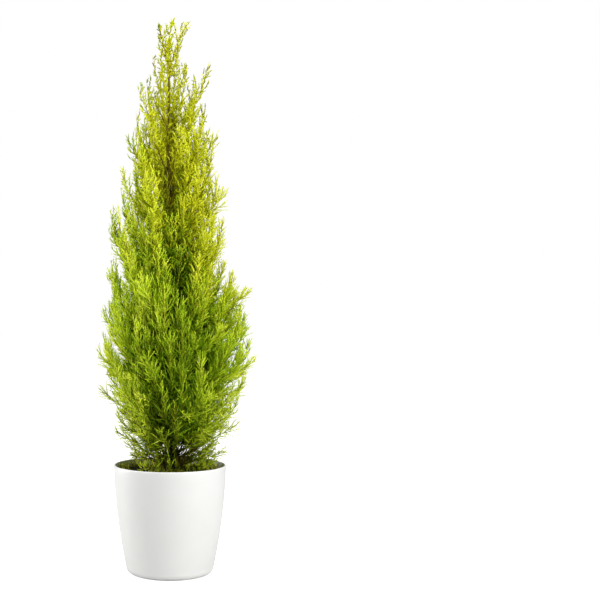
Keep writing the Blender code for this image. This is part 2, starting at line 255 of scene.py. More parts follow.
# Old foliage round the trunk: longer shoots with fewer and broader needles, in the shade
INNER_PITCH = 0.0012
INNER_LONG = 0.028
OLD_NEEDLES = (4, 0.0085, 0.0025)
INNER_TONES = 4
INNER_DEPTH = 0.62  # how far out it grows, as a part of the crown's reach
INNER_TOP = 0.64
INNER_FADE = 0.30
INNER_HIGH = 0.30  # how much of it there is on up to INNER_END
INNER_END = 0.76
HIDDEN_TOP = 0.64  # under this height young shoots near the trunk are mostly left out
HIDDEN_DEPTH = 0.45
HIDDEN_SHARE = 0.75

# Needle colours, from the shaded heart to the palest tips, each row's last one a painted backlight:
# green low down, golden at the top
HUES = (
    ("#3a4f0a", "#58750d", "#7a9e14", "#a0c21a", "#c0dd26", "#d8ea3a", "#dfea7e"),
    ("#475209", "#68780b", "#8d9e10", "#b3bf16", "#cfda24", "#e2e93a", "#eaeb80"),
    ("#555509", "#7c7e0a", "#a2a60c", "#c1c911", "#d9df22", "#e6ec3a", "#eeec80"),
)
MOSSES = ("#666c16", "#939828", "#b9ba4a")
PALE_SHARE = 0.16  # of the outermost young shoots are painted pale, as painted light shining through them from behind
PLUME_SHADES = 0.06  # spread of the shades from plume to plume
# Painted shade in the hollows between the plumes, and painted light on swells: x and height of the
# middle, half width and half height, in millimetres, and how much darker their needles are painted,
# as a part of the range: under 0, lighter, a painted lit swell
HOLLOWS = in_metres(
    (-16, 685, 15, 55, -0.20),
    (20, 665, 14, 30, -0.22),
    (-5, 632, 12, 35, -0.16),
    (-4, 725, 40, 35, -0.06),
    (-56, 575, 14, 50, -0.26),
    (-82, 560, 14, 30, 0.30),
    (-69, 511, 16, 28, -0.18),
    (-42, 450, 18, 36, -0.10),
    (16, 468, 15, 36, 0.06),
    (14, 412, 15, 24, 0.14),
    (-30, 418, 12, 24, -0.18),
    (-55, 416, 26, 26, -0.22),
    (72, 420, 18, 24, -0.12),
    (120, 415, 14, 30, 0.14),
    (-86, 374, 18, 28, -0.25),
    (-40, 352, 19, 36, 0.38),
    (-60, 320, 14, 22, -0.26),
    (-58, 266, 22, 36, -0.30),
    (98, 365, 20, 60, 0.18),
    (-68, 346, 12, 26, -0.12),
    (21, 374, 19, 40, 0.10),
    (46, 300, 20, 40, 0.18),
    (-14, 268, 17, 42, 0.50),
    (-6, 224, 22, 30, 0.48),
)

# --- Studio ---

CAMERA_PLACE = (0.0, -1.89, 0.439)
LENS = 70.2
LENS_SHIFT = 0.2167
AIM_HEIGHT = 0.45
# Softboxes: azimuth, 0 at the camera and 90 at +X, distance, height, width, tallness and watts
SOFTBOXES = {
    "right_softbox": (57.0, 1.9, 0.9, 1.4, 1.8, 24.0),
    "left_softbox": (-103.0, 1.9, 0.8, 1.2, 1.8, 40.0),
    "top_softbox": (30.0, 0.8, 2.4, 1.4, 1.4, 67.0),
}
WHITE = (1.0, 1.0, 1.0, 1.0)
FLOOR_GREY = (0.60, 0.60, 0.60, 1.0)
FLOOR_GLOW = 0.88  # keeps the paper white to the camera, with its shadows
FLOOR_HALF = 12.0
FILL_STRENGTH = 0.25


# --- Helpers ---


def linear(hex_colour):
    """An sRGB hex colour as linear RGBA."""
    channels = [int(hex_colour[place:place + 2], 16) / 255.0 for place in (1, 3, 5)]
    toned = [value / 12.92 if value <= 0.04045 else ((value + 0.055) / 1.055) ** 2.4
             for value in channels]
    return (*toned, 1.0)


def add_node(tree, kind, settings=None, links=None):
    """Add a node, set its properties or inputs, and link its inputs to other nodes.

    A shader node goes by its short kind. A link is a (node, output) pair, or a node alone for
    the first output in use.
    """
    node = tree.nodes.new(kind if "Node" in kind else f"ShaderNode{kind}")
    for name, value in (settings or {}).items():
        if isinstance(name, str) and hasattr(node, name):
            setattr(node, name, value)
        else:
            node.inputs[name].default_value = value
    for name, source in (links or {}).items():
        if isinstance(source, tuple):
            output = source[0].outputs[source[1]]
        else:
            output = next(socket for socket in source.outputs if socket.enabled)
        tree.links.new(output, node.inputs[name])
    return node


def new_material(name):
    """A new material and its empty node tree."""
    made = bpy.data.materials.new(name)
    made.use_nodes = True
    made.node_tree.nodes.clear()
    return made, made.node_tree


def finish_material(material, shader):
    add_node(material.node_tree, "OutputMaterial", links={"Surface": shader})
    return material


def set_stops(ramp, *stops):
    """Give a ramp's two stops their places and colours."""
    for element, (position, tone) in zip(ramp.color_ramp.elements, stops):
        element.position = position
        element.color = linear(tone)


def place_object(name, data):
    placed = bpy.data.objects.new(name, data)
    bpy.context.scene.collection.objects.link(placed)
    return placed


def add_piece(name, mesh, material):
    mesh.materials.clear()
    mesh.materials.append(material)
    return place_object(name, mesh)


def settle(piece, nodes):
    """Fix a finished piece to the body and hide the parts of the solids that it stands for."""
    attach(piece, "root")
    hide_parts(*nodes)


def plain_mesh(target):
    """The target as the viewport shows it, as a mesh of its own."""
    depsgraph = bpy.context.evaluated_depsgraph_get()
    depsgraph.update()
    return bpy.data.meshes.new_from_object(target.evaluated_get(depsgraph))


def solid_mesh(name, points, faces, smooth=True):
    mesh = bpy.data.meshes.new(name)
    mesh.from_pydata([tuple(point) for point in points], [], faces)
    if smooth:
        mesh.shade_smooth()
    return mesh


def blend(low, top, share):
    return low + (top - low) * max(0.0, min(1.0, share))


def heading(angle, radius=1.0, height=0.0):
    return Vector((radius * math.cos(angle), radius * math.sin(angle), height))


def reach_of(point):
    return math.hypot(point.x, point.y)


def tapered(radius, loss, rings):
    """Radii of a limb that loses a share of its radius on the way to its tip."""
    return [radius * (1.0 - loss * ring / (rings - 1)) for ring in range(rings)]


# --- Materials ---


def white_polypropylene():
    """Injection-moulded white polypropylene: satin, faintly waxy, with a fine moulded skin."""
    material, tree = new_material("white_polypropylene")
    place = {"Vector": (add_node(tree, "TexCoord"), "Object")}
    skin = add_node(tree, "TexNoise", {"Scale": 1.0 / (0.9 * MM), "Detail": 2.0}, place)
    handled = add_node(tree, "TexNoise", {"Scale": 1.0 / (38.0 * MM), "Detail": 4.0}, place)
    rough = add_node(tree, "MapRange", {"To Min": 0.28, "To Max": 0.40}, {"Value": handled})
    tint = add_node(tree, "Mix", {
        "data_type": "RGBA", "A": linear("#e0e0de"), "B": linear("#dbdbd8")},
        {"Factor": handled})
    bump = add_node(tree, "Bump", {"Strength": 0.06, "Distance": 0.05 * MM}, {"Height": skin})
    shader = add_node(tree, "BsdfPrincipled", {"IOR": 1.49}, {
        "Roughness": rough, "Normal": bump,
        "Base Color": tint})
    return finish_material(material, shader)


def damp_peat():
    """Damp peat: nearly black brown, matt, with fibres and grains that catch some light."""
    material, tree = new_material("damp_peat")
    place = add_node(tree, "TexCoord")
    grains = add_node(tree, "TexNoise", {
        "Scale": 1.0 / (1.6 * MM), "Detail": 6.0, "Roughness": 0.7},
        {"Vector": (place, "Object")})
    colour = add_node(tree, "ValToRGB", links={"Fac": grains})
    set_stops(colour, (0.35, "#0c0906"), (0.72, "#2b2014"))
    bump = add_node(tree, "Bump", {"Strength": 0.8, "Distance": 0.6 * MM}, {"Height": grains})
    shader = add_node(tree, "BsdfPrincipled", {"Roughness": 0.92}, {
        "Base Color": colour, "Normal": bump})
    return finish_material(material, shader)


def cypress_bark():
    """Thin young bark: olive-brown fibres that run along the stem, darker near the foot."""
    material, tree = new_material("cypress_bark")
    place = {"Vector": (add_node(tree, "TexCoord"), "Object")}
    along = add_node(tree, "Mapping", {"Scale": (1.0, 1.0, 0.12)}, place)
    fibres = add_node(tree, "TexNoise", {
        "Scale": 1.0 / (1.1 * MM), "Detail": 5.0, "Roughness": 0.65},
        {"Vector": along})
    patches = add_node(tree, "TexNoise", {"Scale": 1.0 / (14.0 * MM), "Detail": 3.0}, place)
    colour = add_node(tree, "ValToRGB", links={"Fac": fibres})
    set_stops(colour, (0.30, "#251c08"), (0.75, "#8c7a1c"))
    tint = add_node(tree, "Mix", {"data_type": "RGBA", "B": linear("#6e6410")},
                    {"Factor": patches, "A": colour})
    height = add_node(tree, "SeparateXYZ", links=place)
    old = add_node(tree, "MapRange", {
        "From Min": 0.20, "From Max": 0.42, "To Min": 1.0, "To Max": 0.0},
        {"Value": (height, "Z")})
    aged = add_node(tree, "Mix", {"data_type": "RGBA", "B": linear("#1d1806")},
                    {"Factor": old, "A": tint})
    bump = add_node(tree, "Bump", {"Strength": 0.7, "Distance": 0.4 * MM}, {"Height": fibres})
    shader = add_node(tree, "BsdfPrincipled", {
        "Roughness": 0.82, "Specular IOR Level": 0.15},
        {"Normal": bump, "Base Color": aged})
    return finish_material(material, shader)


def green_twig_bark():
    """Young twigs: smooth olive skin, greener far out and up, orange-yellow at the very top."""
    material, tree = new_material("green_twig_bark")
    place = {"Vector": (add_node(tree, "TexCoord"), "Object")}
    patches = add_node(tree, "TexNoise", {"Scale": 1.0 / (18.0 * MM), "Detail": 3.0}, place)
    colour = add_node(tree, "ValToRGB", links={"Fac": patches})
    set_stops(colour, (0.38, "#9a8e16"), (0.60, "#b6b81c"))
    height = add_node(tree, "SeparateXYZ", links=place)
    young = add_node(tree, "MapRange", {"From Min": 0.24, "From Max": 0.60},
                     {"Value": (height, "Z")})
    flat = add_node(tree, "VectorMath", {"operation": "MULTIPLY", 1: (1.0, 1.0, 0.0)},
                    {0: place["Vector"]})
    spread = add_node(tree, "VectorMath", {"operation": "LENGTH"}, {0: flat})
    outer = add_node(tree, "MapRange", {"From Min": 0.045, "From Max": 0.085}, {"Value": spread})
    base = add_node(tree, "Mix", {
        "data_type": "RGBA", "A": linear("#6a620f"), "B": linear("#8e9416")},
        {"Factor": outer})
    tint = add_node(tree, "Mix", {"data_type": "RGBA"}, {"Factor": young, "A": base, "B": colour})
    newest = add_node(tree, "MapRange", {"From Min": 0.79, "From Max": 0.85},
                      {"Value": (height, "Z")})
    ripe = add_node(tree, "Mix", {"data_type": "RGBA", "B": linear("#cfae3a")},
                    {"Factor": newest, "A": tint})
    shader = add_node(tree, "BsdfPrincipled", {
        "Roughness": 0.6, "Specular IOR Level": 0.10}, {"Base Color": ripe})
    return finish_material(material, shader)


def needle_skin(name, tone):
    """Cypress needles: waxy green skin with a soft shine, one plain colour for each tone."""
    material, tree = new_material(f"needle_skin_{name}")
    shader = add_node(tree, "BsdfPrincipled", {
        "Base Color": linear(tone), "Roughness": 0.62, "Specular IOR Level": 0.06,
        "Subsurface Weight": 0.5, "Subsurface Radius": (1.0, 1.0, 0.3),
        "Subsurface Scale": 1.5 * MM})
    return finish_material(material, shader)


# --- Limbs ---


def side_radius(height):
    depth = POT_HEIGHT - height
    return RIM_RADIUS - SIDE_TAPER * depth - SIDE_BOW * depth * depth


def bareness(flat):
    """Distance from the middle of the soil's bare patch, 1 at its edge."""
    return math.hypot((flat.x - BARE_PATCH.x) / BARE_WIDE, (flat.y - BARE_PATCH.y) / BARE_DEEP)


def soil_height(flat):
    """Height of the soil's surface, with its mound, lumps and crumbs."""
    mound = SOIL_MOUND * (1.0 - flat.length / RIM_RADIUS)
    lumps = noise.fractal(flat / 0.016, 1.0, 2.0, 3) * 0.0022
    crumbs = noise.fractal(flat / 0.0035, 1.0, 2.1, 3) * 0.0009
    return SOIL_TOP + mound + lumps + crumbs - 0.0008


def up_trunk(height):
    return (height - TRUNK_FOOT) / (TRUNK_TOP - TRUNK_FOOT)


def trunk_centre(height):
    share = up_trunk(height)
    lean = TRUNK_FOOT_OFFSET + (TRUNK_TOP_OFFSET - TRUNK_FOOT_OFFSET) * share
    sway = TRUNK_SWAY * math.sin(math.pi * share)
    return Vector((lean - sway, 0.6 * sway, height))


def trunk_radius(height):
    taper = TRUNK_FOOT_RADIUS + (TRUNK_TOP_RADIUS - TRUNK_FOOT_RADIUS) * up_trunk(height)
    return taper + FLARE_RADIUS * math.exp((TRUNK_FOOT - height) / FLARE_HEIGHT)


def curve_point(foot, bend, tip, share):
    rest = 1.0 - share
    return rest * rest * foot + 2.0 * rest * share * bend + share * share * tip


def curve_path(foot, bend, tip, rings, end=1.0):
    """Points from the foot to a share of the way to the tip."""
    return [curve_point(foot, bend, tip, end * ring / (rings - 1)) for ring in range(rings)]


def path_length(points):
    return sum((after - before).length for before, after in zip(points, points[1:]))


def place_on(path, share):
    """Point and direction at a share of a path."""
    position = share * (len(path) - 1)
    ring = min(int(position), len(path) - 2)
    return path[ring].lerp(path[ring + 1], position - ring), (
        path[ring + 1] - path[ring]).normalized()


def at_side(tier, right_share):
    """Height of a tier's tips and its reach, blended from the left side to the right."""
    return (blend(tier.tip_left, tier.tip_right, right_share),
            blend(tier.reach_left, tier.reach_right, right_share))


def plume_curve(tier, direction, rng, bend_out=BEND_OUT, bend_up=BEND_UP):
    """Foot, bend point and tip of one plume."""
    angle = math.radians(direction)
    tip_height, reach = at_side(tier, 0.5 * (1.0 + math.cos(angle)))
    foot_height = tier.foot + 0.004 * rng.uniform(-1.0, 1.0)
    foot = trunk_centre(foot_height)
    level = heading(angle) * reach
    tip = level + Vector((0.0, 0.0, tip_height))
    rise = foot_height + bend_up * (tip_height - foot_height)
    return foot, level * bend_out + Vector((foot.x, 0.0, rise)), tip


def crown_radius(point):
    """Reach of the crown at a point's height, on the point's side."""
    right_share = 0.5 * (1.0 + point.x / max(reach_of(point), 0.001))
    low, low_reach = at_side(TIERS[0], right_share)
    for tier in TIERS:
        height, reach = at_side(tier, right_share)
        if height > point.z:
            share = (point.z - low) / max(height - low, 0.001)
            return low_reach + (reach - low_reach) * max(0.0, share)
        low, low_reach = height, reach
    return reach


def ring_faces(first, sides, rings):
    """Faces of a closed tube whose rings of points start at the vertex first."""
    faces = [tuple(first + step for step in reversed(range(sides)))]
    for ring in range(rings - 1):
        low = first + ring * sides
        for step in range(sides):
            after = (step + 1) % sides
            faces.append((low + step, low + after, low + sides + after, low + sides + step))
    top = first + (rings - 1) * sides
    faces.append(tuple(top + step for step in range(sides)))
    return faces


def bark_tube(limbs, sides, relief, grain):
    """Closed tubes along (points, radii) limbs, roughened by ridges that run along them."""
    vertices = []
    faces = []
    for points, radii in limbs:
        faces += ring_faces(len(vertices), sides, len(points))
        tangent = (points[1] - points[0]).normalized()
        side = tangent.orthogonal().normalized()
        for index, point in enumerate(points):
            ahead = points[min(index + 1, len(points) - 1)] - points[max(index - 1, 0)]
            turned = ahead.normalized()
            side = tangent.rotation_difference(turned) @ side
            tangent = turned
            up = tangent.cross(side)
            for step in range(sides):
                angle = math.tau * step / sides
                outward = math.cos(angle) * side + math.sin(angle) * up
                spot = point + outward * radii[index]
                sample = Vector((spot.x / grain, spot.y / grain, spot.z / (7.0 * grain)))
                swell = 1.0 + relief * noise.fractal(sample, 1.0, 2.0, 4)
                vertices.append(point + outward * radii[index] * swell)
    return solid_mesh("bark", vertices, faces)


def twig_mesh(limbs):
    """Thin closed three-sided tubes along (points, radii) limbs, as one mesh."""
    vertices = []
    faces = []
    for points, radii in limbs:
        faces += ring_faces(len(vertices), 3, len(points))
        tangent = (points[-1] - points[0]).normalized()
        side = tangent.orthogonal().normalized()
        across = tangent.cross(side)
        for point, radius in zip(points, radii):
            for step in range(3):
                angle = math.tau * step / 3
                vertices.append(point + (side * math.cos(angle)
                                         + across * math.sin(angle)) * radius)
    return solid_mesh("twigs", vertices, faces)


def bare_twig_paths():
    """Curves of the bare twigs, from the trunk up and out in front of the foliage."""
    paths = []
    for height, tip in BARE_TWIGS:
        bend = Vector((0.25 * tip.x, 0.8 * tip.y, 0.5 * (height + tip.z)))
        paths.append(curve_path(trunk_centre(height), bend, tip, 12))
    return paths


BARE_TWIG_PATHS = bare_twig_paths()


# --- Growth rule ---

# A plume's bare is the leafless share of its length, sparse spaces its growth out, fine shortens
# its twigs, and tint makes it paler, or under 0 darker, which is painted shade on the plumes in
# front of and behind the trunk. A shoot's tone and hue pick its colour.
Plume = namedtuple("Plume", "foot bend tip bough level bare sparse fine tint")
Shoot = namedtuple("Shoot", "root aim size turn tone hue girth")


def level_of(point):
    """How high a point is, from 0 at the soil to 1 at the leader's tip."""
    return (point.z - SOIL_TOP) / PLANT_HEIGHT


def topness(plume):
    """From 0 to 1 in the top of the crown, where shoots are short and the light comes through."""
    return blend(0.0, 1.0, 4.0 * plume.level - 2.6)


def skirtness(plume):
    """From 0 to 1 in the lowest plumes, which spread wildly."""
    return blend(1.0, 0.0, 6.0 * plume.level - 0.6)


def plan_plumes(rows, rng, bare=0.10, sparse=1.0, fine=1.0, tint=0.0, upright=0.0, **bending):
    """Plumes of the tiers. Upright draws those at the front up and in to the trunk."""
    plumes = []
    for tier in rows:
        for direction in tier.directions:
            foot, bend, tip = plume_curve(tier, direction, rng, **bending)
            paler = tint + rng.gauss(0.0, PLUME_SHADES) * blend(1.5, 1.0, 6.0 * tip.z - 1.6)
            front = max(0.0, -math.sin(math.radians(direction)) - 0.5) * upright
            tip = Vector((tip.x * (1.0 - 0.5 * front), tip.y * (1.0 - 0.5 * front),
                          tip.z + 0.08 * front * reach_of(tip) / 0.12))
            level = level_of(tip)
            low = tip.z < LOW_TIPS
            open_out = blend(OPEN_LOW, 1.0, 3.2 * level - 0.5)
            plumes.append(Plume(foot, bend, tip, tier.bough, level, max(bare, 0.30 * low),
                                max(sparse, 1.3 * low, open_out), fine, paler))
    return plumes


def plan_ruled(rng):
    """Slim plumes that wind up the crown by the golden angle, inside its reach."""
    plumes = []
    for number in range(RULED):
        share = number / (RULED - 1)
        outward = heading(GOLDEN_ANGLE * number)
        height = RULED_LOW + (RULED_TOP - RULED_LOW) * share ** 1.15
        reach = crown_radius(outward * 0.05 + UP * height) * rng.uniform(0.62, 0.88)
        if height > CLEAR_TRUNK and outward.y < -0.85:
            continue
        foot = max(height - 0.03 - 0.75 * reach, 0.5 * (height + TRUNK_FOOT))
        direction = math.degrees(GOLDEN_ANGLE) * number
        tier = Tier(foot, height, height, reach, reach, (direction,))
        plumes += plan_plumes((tier,), rng, upright=0.6, **SPREADING)
    return plumes


def plan_sprigs(rng):
    """Small shoots that come up through the soil, off its bare patch."""
    sprigs = []
    while len(sprigs) < SPRIGS:
        outward = heading(rng.uniform(0.0, math.tau))
        flat = outward * rng.uniform(0.012, 0.064)
        if bareness(flat) < 1.15:
            continue
        foot = flat + UP * (SOIL_TOP - 0.001)
        long = rng.uniform(0.020, 0.042)
        tip = foot + outward * long * rng.uniform(0.1, 0.5) + UP * long * rng.uniform(0.55, 0.9)
        bend = foot.lerp(tip, 0.5) + UP * 0.2 * long
        sprigs.append(Plume(foot, bend, tip, False, level_of(tip), bare=0.22, sparse=1.3,
                            fine=0.55, tint=rng.gauss(-0.12, 0.06)))
    return sprigs


def plan_stems():
    """Limbs for the bare brown stems that lean out round the foot of the trunk."""
    limbs = []
    for number in range(STEMS):
        outward = heading(GOLDEN_ANGLE * number + 0.6)
        foot = outward * STEM_RING * (1.0 + 0.5 * (number % 3)) + UP * (SOIL_TOP - 0.002)
        tip = outward * (0.034 + 0.006 * (number % 4)) + UP * (0.222 + 0.012 * (number % 5))
        bend = foot.lerp(tip, 0.5) - outward * 0.008
        limbs.append((curve_path(foot, bend, tip, 16), tapered(STEM_THICK, 0.6, 16)))
    return limbs


def plan_fill(rng):
    """All the slimmer plumes: within the crown, before and behind it, and low round the foot."""
    fill = plan_plumes(BETWEEN, rng, upright=1.0, **SPREADING)
    fill += plan_plumes(SIDES, rng, **SPREADING)
    fill += plan_plumes(FRINGES[:1], rng, bare=0.18, sparse=1.2, fine=0.72, tint=0.10, **ARCHING)
    fill += plan_plumes(FRINGES[1:], rng, bare=0.16, sparse=1.3, fine=0.78, tint=0.12, **ARCHING)
    fill += plan_ruled(rng)
    # Plumes in front of the trunk are painted darker, the middle rows most, as painted shade
    for rows, tint in ((FRONT[:2], -0.04), (FRONT[2:6], -0.26), (FRONT[6:], -0.12)):
        fill += plan_plumes(rows, rng, sparse=1.15, fine=0.9, tint=tint)
    # Painted shade on the plumes behind the trunk, and a little painted light on those behind its
    # upper half
    fill += plan_plumes(BACK, rng, sparse=1.3, tint=-0.14)
    fill += plan_plumes(BACK_HIGH, rng, sparse=1.1, tint=0.02)
    fill += plan_plumes(BASAL, rng, bare=0.24, sparse=1.25, fine=0.74, tint=-0.02)
    fill += plan_plumes(FAN, rng, bare=0.40, sparse=1.25, fine=0.62, tint=0.05)
    fill += plan_plumes(CREEPING[:1], rng, bare=0.42, sparse=1.2, fine=0.6)
    fill += plan_plumes(CREEPING[1:], rng, bare=0.62, sparse=0.9, fine=0.6, tint=0.06)
    return fill + plan_sprigs(rng)


def keeps_to_space(point, plume):
    """True inside the reach of the plume's own tip, and off the pot and the soil."""
    spread = reach_of(point)
    reach = reach_of(plume.tip) + TIP_MARGIN * (0.3 + 0.5 * point.x / max(spread, 0.001))
    above = 0.85 * TIP_MARGIN if plume.level > 0.9 else 1.5 * TIP_MARGIN
    if spread > max(reach, 0.022) or point.z > min(plume.tip.z + above, CEILING):
        return False
    floor = POT_HEIGHT if abs(spread - RIM_RADIUS) < 0.008 else SOIL_TOP + SOIL_MOUND
    return point.z > floor + 0.001


def hides_trunk(point, rng, margin=0.0048):
    """True for most growth straight in front of the upper trunk."""
    before = point.y < 0.0 and abs(point.x - trunk_centre(point.z).x) < margin
    return before and CLEAR_TRUNK - 0.02 < point.z < TRUNK_TOP - 0.01 and rng.random() < 0.8


def hides_twig(point, rng):
    """True for most growth in front of the bare twigs."""
    if point.y > 0.0 or abs(point.x) > 0.03 or not 0.60 < point.z < 0.76:
        return False
    near = any(math.hypot(point.x - spot.x, point.z - spot.z) < BARE_TWIG_CLEAR
               for path in BARE_TWIG_PATHS for spot in path)
    return near and rng.random() < 0.92


def apart(point, middle, height, wide, tall):
    """Squared distance to the middle of a spot in the XZ plane, 1 at the spot's edge."""
    return ((point.x - middle) / wide) ** 2 + ((point.z - height) / tall) ** 2


def in_sky_gap(point):
    return any(apart(point, *gap) < 1.0 for gap in SKY_GAPS)


def spread_direction(tangent, spread, turn, lift):
    """The tangent leant over by the angle spread, turned about itself, and lifted."""
    side = Quaternion(tangent, turn) @ tangent.orthogonal().normalized()
    along = tangent * math.cos(spread) + side * math.sin(spread)
    return (along + UP * lift).normalized()


def hollow_shade(point):
    """How much darker a point is painted: painted shade in the hollows between plumes, or under 0
    lighter, painted light on swells.
    """
    return sum(strength * math.exp(-apart(point, *spot)) for *spot, strength in HOLLOWS)


def colour_place(point, plume, outward, shade, rng):
    """Tone and hue: paler up the plant, out from its axis and along a twig, darker inside partly as
    painted shade, with painted light and shade by place, painted highlights and painted backlight
    on some tips, and more golden on the lit right side.
    """
    depth = min(1.0, reach_of(point) / crown_radius(point))
    side = point.x / crown_radius(point)
    top = topness(plume)
    skirt = blend(1.0, 0.0, 3.2 * plume.level - 0.2)
    # The tone low in the crown, darker inside it partly as painted shade, painted lighter at the
    # skirt's sides and most on its left, with painted shade and light in the hollows and swells;
    # and the tone in its top, painted lighter inside where the light comes through, with no dark
    # tones up high
    low = 0.03 + 0.20 * plume.level + 0.46 * outward + 0.43 * depth ** 1.6
    low += skirt * (0.56 * side ** 2 - 0.21 * side) - hollow_shade(point)
    high = 0.68 - 0.42 * (outward * depth) ** 1.5
    value = low + (high - low) * top + shade + plume.tint + rng.gauss(0.0, 0.08 + 0.03 * skirt)
    value = max(value, blend(0.0, 0.26, 4.0 * plume.level - 1.7))
    # Painted highlights on some tips low in the crown
    value += 0.20 * skirt * (outward * depth > 0.78 and rng.random() < 0.32)
    # Hue: more golden up the plant and further out, and on the right, the lit side, as painted
    # light
    golden = (plume.level - 0.36) / 0.40 + 0.42 * side + 0.12 * depth - 0.14
    golden += 1.4 * plume.tint - 0.95 * top * (outward * depth) ** 2 + rng.gauss(0.0, 0.10)
    hue = max(0, min(len(HUES) - 1, int(golden * len(HUES))))
    last = len(HUES[hue]) - 1
    # Some of the outermost shoots take their hue's palest colour, a painted backlight
    newest = 1.0 + max(0.0, 10.0 * plume.level - 9.0)
    if rng.random() < PALE_SHARE * outward * depth ** 2 * newest * max(top, 0.25 * side ** 2):
        return last, hue
    return max(0, min(last - 1, int(value * last))), hue


def clothe(path, plume, start, longest, inner, rng, shoots):
    """Set shoots along a path from the share start to its tip."""
    shade = rng.gauss(0.0, blend(0.10, 0.06, 3.2 * plume.level - 0.2))
    leader = plume.level > 0.93
    pitch = SHOOT_PITCH * plume.sparse * blend(1.0, 1.25, topness(plume))
    pitch *= 0.78 if leader else 1.0
    count = int(path_length(path) * (1.0 - start) / pitch)
    skirt = skirtness(plume)
    widest = blend(*SHOOT_SPREAD, 2.0 * plume.level - 0.6) + 20.0 * skirt
    turn = rng.uniform(0.0, math.tau)
    lift = blend(0.0, 0.14, 2.2 * plume.level) - 0.12 * skirt
    girth = blend(*GIRTH, 1.8 * plume.level - 0.55) - 0.26 * skirt
    girth *= 1.15 if leader else 1.0
    for index in range(count + 1):
        share = start + (1.0 - start) * index / max(count, 1)
        root, tangent = place_on(path, share)
        turn += GOLDEN_ANGLE
        spread = math.radians(widest * (1.0 - 0.30 * share) * rng.uniform(0.8, 1.2))
        length = max(longest * (1.0 - 0.68 * share) * rng.uniform(0.75, 1.15), SHOOT_SHORT)
        if rng.random() < WISP_SHARE:
            length *= blend(1.7, 1.25, topness(plume))
        if index == count:
            spread = 0.0
            length = SHOOT_SHORT * 1.6
        aim = spread_direction(tangent, spread, turn + rng.uniform(-0.5, 0.5), lift)
        outward = inner + (1.0 - inner) * share
        for scale in (1.0, 0.7):
            end = root + aim * length * scale
            hidden = end.z < HIDDEN_TOP and reach_of(end) < HIDDEN_DEPTH * crown_radius(end)
            if hidden and rng.random() < HIDDEN_SHARE:
                break
            middle = root.lerp(end, 0.5)
            if in_sky_gap(end) or in_sky_gap(middle):
                break
            if hides_twig(end, rng) or hides_twig(middle, rng):
                break
            if keeps_to_space(end, plume) and not hides_trunk(end, rng):
                tone, hue = colour_place(end, plume, outward, shade, rng)
                turned = rng.uniform(0.0, math.tau)
                shoots.append(Shoot(root, aim, length * scale, turned, tone, hue, girth))
                break


def clothe_inside(path, plume, rng, inner):
    """Set old shaded foliage along the first half of a plume."""
    count = int(0.5 * path_length(path) / INNER_PITCH)
    for index in range(count):
        root, tangent = place_on(path, 0.04 + 0.52 * index / count)
        spread = math.radians(rng.uniform(38.0, 80.0))
        aim = spread_direction(tangent, spread, index * GOLDEN_ANGLE, 0.5)
        short = blend(1.0, 0.55, (root.z - 0.50) / 0.12)
        length = INNER_LONG * short * rng.uniform(0.6, 1.0)
        end = root + aim * length
        depth = reach_of(end) / crown_radius(end)
        fade = max((INNER_TOP - end.z) / INNER_FADE, INNER_HIGH * (end.z < INNER_END))
        if (rng.random() < fade and depth < INNER_DEPTH and keeps_to_space(end, plume)
                and not hides_trunk(end, rng, 0.010)):
            high = blend(0.0, 1.0, (end.z - 0.52) / 0.10)
            # Old needles are lighter further out and up high, with painted shade in the hollows and
            # painted light on the swells
            tone = int(0.4 + 1.8 * high + (3.6 - 1.4 * high) * depth - 3.0 * hollow_shade(end)
                       + rng.uniform(-0.6, 0.6))
            tone = max(0, min(INNER_TONES - 1, tone))
            hue = int(rng.random() < high)
            inner.append(Shoot(root, aim, length, rng.uniform(0.0, 6.28), tone, hue, 1.2 * short))


def grow_plume(plume, rng, twigs, shoots, inner):
    """Grow a plume's stem and its side twigs, and clothe them with shoots."""
    path = curve_path(plume.foot, plume.bend, plume.tip, 11)
    total = path_length(path)
    longest = min(TWIG_LONG, blend(*TWIG_SHARE, 2.6 * plume.level - 1.5) * total) * plume.fine
    low_pitch, top_pitch = TWIG_PITCH
    pitch = low_pitch + (top_pitch - low_pitch) * max(0.0, 2.5 * plume.level - 1.4)
    count = max(4, int(total / (pitch * plume.sparse)))
    slim = plume.fine * blend(*SHOOT_LONG, 1.7 * plume.level - 0.6)
    closeness = blend(*TWIG_CLOSENESS, plume.level)
    wild = skirtness(plume)
    for index in range(count):
        share = plume.bare + (0.92 - plume.bare) * (index + 0.5) / count
        root, tangent = place_on(path, share)
        spread = math.radians(blend(*SPREAD, share)) * closeness
        spread *= rng.uniform(0.8 - 0.3 * wild, 1.2 + 0.5 * wild)
        turn = index * GOLDEN_ANGLE + rng.uniform(-0.4, 0.4)
        along = spread_direction(tangent, spread, turn, 0.35 * TWIG_LIFT)
        room = 0.72 * total * (1.0 - share) + 0.5 * TWIG_SHORT
        length = min(longest * rng.uniform(0.7, 1.1), max(room / math.cos(spread), TWIG_SHORT))
        for scale in (1.0, 0.8, 0.6, 0.4):
            reach = length * scale
            bend = root + along * 0.5 * reach
            tip = bend + (along + UP * TWIG_LIFT).normalized() * 0.5 * reach
            if keeps_to_space(tip, plume):
                side_path = curve_path(root, bend, tip, 4)
                twigs.append((side_path, tapered(TWIG_RADIUS, 0.7, 4)))
                clothe(side_path, plume, 0.14, slim, 0.4 * share, rng, shoots)
                break
    clothe(path, plume, max(0.22, plume.bare + 0.1), slim, 0.15, rng, shoots)
    if plume.bare < 0.2 and plume.sparse < 1.4:
        clothe_inside(path, plume, rng, inner)
    slender = STEM_SLENDER * (1.6 if plume.level >= 1.0 else 1.0)
    twigs.append((path, [radius + 0.0002 for radius in tapered(slender * total, 0.95, 11)]))


# --- Needle sprays ---


